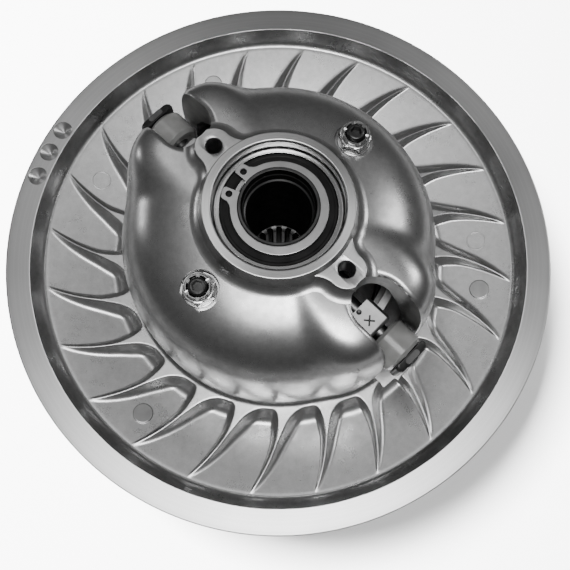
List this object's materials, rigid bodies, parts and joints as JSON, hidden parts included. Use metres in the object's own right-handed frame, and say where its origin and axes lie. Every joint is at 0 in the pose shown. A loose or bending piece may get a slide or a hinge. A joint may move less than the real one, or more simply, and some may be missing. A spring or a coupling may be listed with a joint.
{
  "type": "cvt driven pulley set",
  "caption": "Driven pulley set of a belt transmission: two sheaves that shift on a splined post, with rollers, cam, spring and bearing.",
  "frame": {"origin": "centre of the post's rear end face, which is the middle of the underside of the whole set", "axes": "+Z along the post's axis, out of the dome; +X and +Y lie in the sheaves' plane, and the two windows stand at -44.5 and 135.5 degrees from +X"},
  "size_m": [0.2748, 0.2748, 0.1454],
  "materials": {
    "cast_aluminium": "satin die-cast aluminium, turned bright on the rim band, hub ring and belt faces",
    "machined_aluminium": "fine blasted and machined aluminium",
    "blackened_steel": "dark oxide finish",
    "ground_steel": "ground",
    "spring_steel": "phosphated and oiled",
    "bearing_steel": "polished",
    "zinc_plate": "bright zinc plate",
    "sintered_bronze": "sintered, matt",
    "seal_rubber": "moulded, matt",
    "grey_nylon": "moulded, satin",
    "dark_nylon": "moulded, satin",
    "black_nylon": "moulded, satin"
  },
  "bodies": {
    "post": {"post": "blackened_steel", "helix_cam": "ground_steel", "cam_spacer": "ground_steel", "bearing_inner_ring": "bearing_steel", "post_circlip": "spring_steel", "stop_washer": "ground_steel", "rear_circlip": "spring_steel"},
    "front_sheave": {"front_sheave": "cast_aluminium", "bearing_outer_ring": "bearing_steel", "bearing_seal_front": "seal_rubber", "bearing_seal_rear": "seal_rubber", "spring_cup": "spring_steel", "stud_1": "ground_steel", "stud_2": "ground_steel", "stud_washer_1": "zinc_plate", "stud_washer_2": "zinc_plate", "lock_nut_1": "zinc_plate", "lock_nut_2": "zinc_plate", "spring": "spring_steel"},
    "bearing_balls": {"bearing_balls": "bearing_steel"},
    "rear_sheave": {"rear_sheave": "cast_aluminium", "roller_carrier": "machined_aluminium", "roller_pin_1": "ground_steel", "roller_pin_2": "ground_steel", "guide_cap_1": "black_nylon", "guide_cap_2": "black_nylon", "outer_roller_bush_1": "sintered_bronze", "outer_roller_bush_2": "sintered_bronze", "cam_roller_bush_1": "sintered_bronze", "cam_roller_bush_2": "sintered_bronze", "post_bush_front": "sintered_bronze", "post_bush_rear": "sintered_bronze", "spring_washer": "spring_steel", "carrier_screw_1": "ground_steel", "carrier_screw_2": "ground_steel", "carrier_screw_3": "ground_steel", "carrier_screw_4": "ground_steel"},
    "outer_roller_1": {"outer_roller_1": "grey_nylon"},
    "outer_roller_2": {"outer_roller_2": "grey_nylon"},
    "cam_roller_1": {"cam_roller_1": "dark_nylon"},
    "cam_roller_2": {"cam_roller_2": "dark_nylon"}
  },
  "joints": [
    {"name": "sheave_turn", "type": "hinge", "parent": "post", "child": "front_sheave", "pos_m": [0, 0, 0.1345], "axis": [0, 0, 1], "range_deg": [0, 30]},
    {"name": "bearing_balls_turn", "type": "hinge", "parent": "post", "child": "bearing_balls", "pos_m": [0, 0, 0.1345], "axis": [0, 0, 1], "range_deg": [0, 17]},
    {"name": "rear_sheave_shift", "type": "slide", "parent": "front_sheave", "child": "rear_sheave", "axis": [0, 0, -1], "range_m": [0, 0.0221], "stiffness_N_per_m": 6000, "springref_m": -0.025, "deforming": ["spring"]},
    {"name": "outer_roller_1_roll", "type": "hinge", "parent": "rear_sheave", "child": "outer_roller_1", "pos_m": [-0.05271, 0.0518, 0.0985], "axis": [-0.7133, 0.7009, 0], "range_deg": [0, 120]},
    {"name": "outer_roller_2_roll", "type": "hinge", "parent": "rear_sheave", "child": "outer_roller_2", "pos_m": [0.05271, -0.0518, 0.0985], "axis": [0.7133, -0.7009, 0], "range_deg": [0, 120]},
    {"name": "cam_roller_1_roll", "type": "hinge", "parent": "rear_sheave", "child": "cam_roller_1", "pos_m": [-0.02635, 0.0259, 0.0985], "axis": [-0.7133, 0.7009, 0], "range_deg": [-188, 0]},
    {"name": "cam_roller_2_roll", "type": "hinge", "parent": "rear_sheave", "child": "cam_roller_2", "pos_m": [0.02635, -0.0259, 0.0985], "axis": [0.7133, -0.7009, 0], "range_deg": [-188, 0]}
  ],
  "couplings": [
    {"joint": "rear_sheave_shift", "follows": "sheave_turn", "m_per_rad": 0.042017},
    {"joint": "bearing_balls_turn", "follows": "sheave_turn", "ratio": 0.5589},
    {"joint": "outer_roller_1_roll", "follows": "sheave_turn", "ratio": 3.9639},
    {"joint": "outer_roller_2_roll", "follows": "sheave_turn", "ratio": 3.9639},
    {"joint": "cam_roller_1_roll", "follows": "sheave_turn", "ratio": -6.2207},
    {"joint": "cam_roller_2_roll", "follows": "sheave_turn", "ratio": -6.2207}
  ]
}
